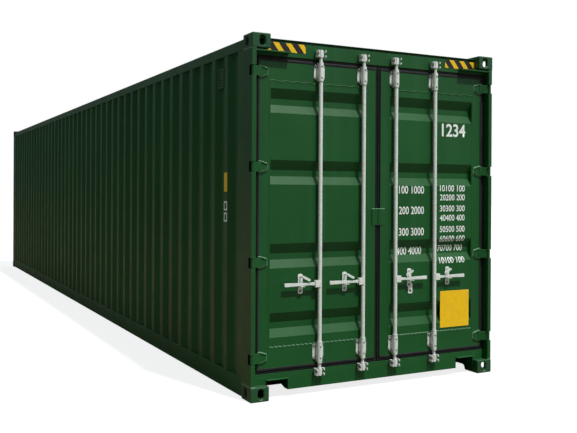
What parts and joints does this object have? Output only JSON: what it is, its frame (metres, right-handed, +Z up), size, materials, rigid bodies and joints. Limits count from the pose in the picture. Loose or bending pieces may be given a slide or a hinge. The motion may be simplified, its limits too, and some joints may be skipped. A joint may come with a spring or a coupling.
{
  "type": "high-cube shipping container",
  "caption": "Long corrugated steel freight container with corner castings, double swing doors, cam locking bars, lift handles and a timber floor.",
  "frame": {"origin": "middle of the footprint, level with the undersides of the bottom corner castings", "axes": "+X along the container towards the doors, +Y to the right for someone who faces the doors, +Z up"},
  "size_m": [12.192, 2.438, 2.896],
  "materials": {
    "container_green": "satin marine paint with light wear",
    "casting_paint": "painted cast steel, scuffed at the slots",
    "galvanised_gear": "dull galvanised steel",
    "seal_rubber": "matte black seal",
    "floor_plywood": "sealed plywood",
    "underframe_paint": "dark undercoat",
    "vent_paint": "painted plastic"
  },
  "bodies": {
    "container_frame": {"bottom_corner_castings": "casting_paint", "bottom_side_rails": "container_green", "cam_keepers": "galvanised_gear", "cross_members": "underframe_paint", "door_header": "container_green", "door_sill": "container_green", "floor_boards": "floor_plywood", "front_posts": "container_green", "front_sill": "container_green", "front_top_rail": "container_green", "front_wall": "container_green", "gooseneck_tunnel": "underframe_paint", "hinge_lugs": "container_green", "left_door_post": "container_green", "left_side_wall": "container_green", "right_door_post": "container_green", "right_side_wall": "container_green", "roof_corner_plates": "container_green", "roof_panel": "container_green", "side_ventilators": "vent_paint", "top_corner_castings": "casting_paint", "top_side_rails": "container_green"},
    "left_leaf": {"left_leaf_frame": "container_green", "left_leaf_panel": "container_green", "left_leaf_seal": "seal_rubber", "left_leaf_hinges": "container_green", "left_bar_brackets": "galvanised_gear", "left_handle_retainers": "galvanised_gear", "left_cover_plate": "container_green"},
    "left_outer_bar": {"left_outer_bar": "galvanised_gear"},
    "left_outer_handle": {"left_outer_handle": "galvanised_gear"},
    "left_outer_catch": {"left_outer_catch": "galvanised_gear"},
    "left_inner_bar": {"left_inner_bar": "galvanised_gear"},
    "left_inner_handle": {"left_inner_handle": "galvanised_gear"},
    "left_inner_catch": {"left_inner_catch": "galvanised_gear"},
    "right_leaf": {"right_leaf_frame": "container_green", "right_leaf_panel": "container_green", "right_leaf_seal": "seal_rubber", "right_leaf_hinges": "container_green", "right_bar_brackets": "galvanised_gear", "right_handle_retainers": "galvanised_gear", "right_cover_plate": "container_green"},
    "right_outer_bar": {"right_outer_bar": "galvanised_gear"},
    "right_outer_handle": {"right_outer_handle": "galvanised_gear"},
    "right_outer_catch": {"right_outer_catch": "galvanised_gear"},
    "right_inner_bar": {"right_inner_bar": "galvanised_gear"},
    "right_inner_handle": {"right_inner_handle": "galvanised_gear"},
    "right_inner_catch": {"right_inner_catch": "galvanised_gear"}
  },
  "joints": [
    {"name": "left_door_hinge", "type": "hinge", "parent": "container_frame", "child": "left_leaf", "pos_m": [6.074, -1.199, 0.332], "axis": [0, 0, -1], "range_deg": [0, 265]},
    {"name": "right_door_hinge", "type": "hinge", "parent": "container_frame", "child": "right_leaf", "pos_m": [6.074, 1.199, 0.332], "axis": [0, 0, 1], "range_deg": [0, 265]},
    {"name": "left_outer_bar_turn", "type": "hinge", "parent": "left_leaf", "child": "left_outer_bar", "pos_m": [6.063, -0.585, 0.902], "axis": [0, 0, -1], "range_deg": [-95, 0]},
    {"name": "left_inner_bar_turn", "type": "hinge", "parent": "left_leaf", "child": "left_inner_bar", "pos_m": [6.063, -0.165, 0.902], "axis": [0, 0, -1], "range_deg": [-95, 0]},
    {"name": "right_outer_bar_turn", "type": "hinge", "parent": "right_leaf", "child": "right_outer_bar", "pos_m": [6.063, 0.585, 0.902], "axis": [0, 0, 1], "range_deg": [-95, 0]},
    {"name": "right_inner_bar_turn", "type": "hinge", "parent": "right_leaf", "child": "right_inner_bar", "pos_m": [6.063, 0.165, 0.902], "axis": [0, 0, 1], "range_deg": [-95, 0]},
    {"name": "left_outer_handle_lift", "type": "hinge", "parent": "left_outer_bar", "child": "left_outer_handle", "pos_m": [6.07, -0.618, 0.902], "axis": [1, 0, 0], "range_deg": [-12, 0]},
    {"name": "left_inner_handle_lift", "type": "hinge", "parent": "left_inner_bar", "child": "left_inner_handle", "pos_m": [6.07, -0.198, 0.902], "axis": [1, 0, 0], "range_deg": [-12, 0]},
    {"name": "right_outer_handle_lift", "type": "hinge", "parent": "right_outer_bar", "child": "right_outer_handle", "pos_m": [6.07, 0.618, 0.902], "axis": [-1, 0, 0], "range_deg": [-12, 0]},
    {"name": "right_inner_handle_lift", "type": "hinge", "parent": "right_inner_bar", "child": "right_inner_handle", "pos_m": [6.07, 0.198, 0.902], "axis": [-1, 0, 0], "range_deg": [-12, 0]},
    {"name": "left_outer_catch_swing", "type": "hinge", "parent": "left_leaf", "child": "left_outer_catch", "pos_m": [6.085, -0.752, 0.964], "axis": [-1, 0, 0], "range_deg": [-20, 44]},
    {"name": "left_inner_catch_swing", "type": "hinge", "parent": "left_leaf", "child": "left_inner_catch", "pos_m": [6.085, -0.332, 0.964], "axis": [-1, 0, 0], "range_deg": [-20, 44]},
    {"name": "right_outer_catch_swing", "type": "hinge", "parent": "right_leaf", "child": "right_outer_catch", "pos_m": [6.085, 0.752, 0.964], "axis": [1, 0, 0], "range_deg": [-20, 44]},
    {"name": "right_inner_catch_swing", "type": "hinge", "parent": "right_leaf", "child": "right_inner_catch", "pos_m": [6.085, 0.332, 0.964], "axis": [1, 0, 0], "range_deg": [-20, 44]}
  ]
}
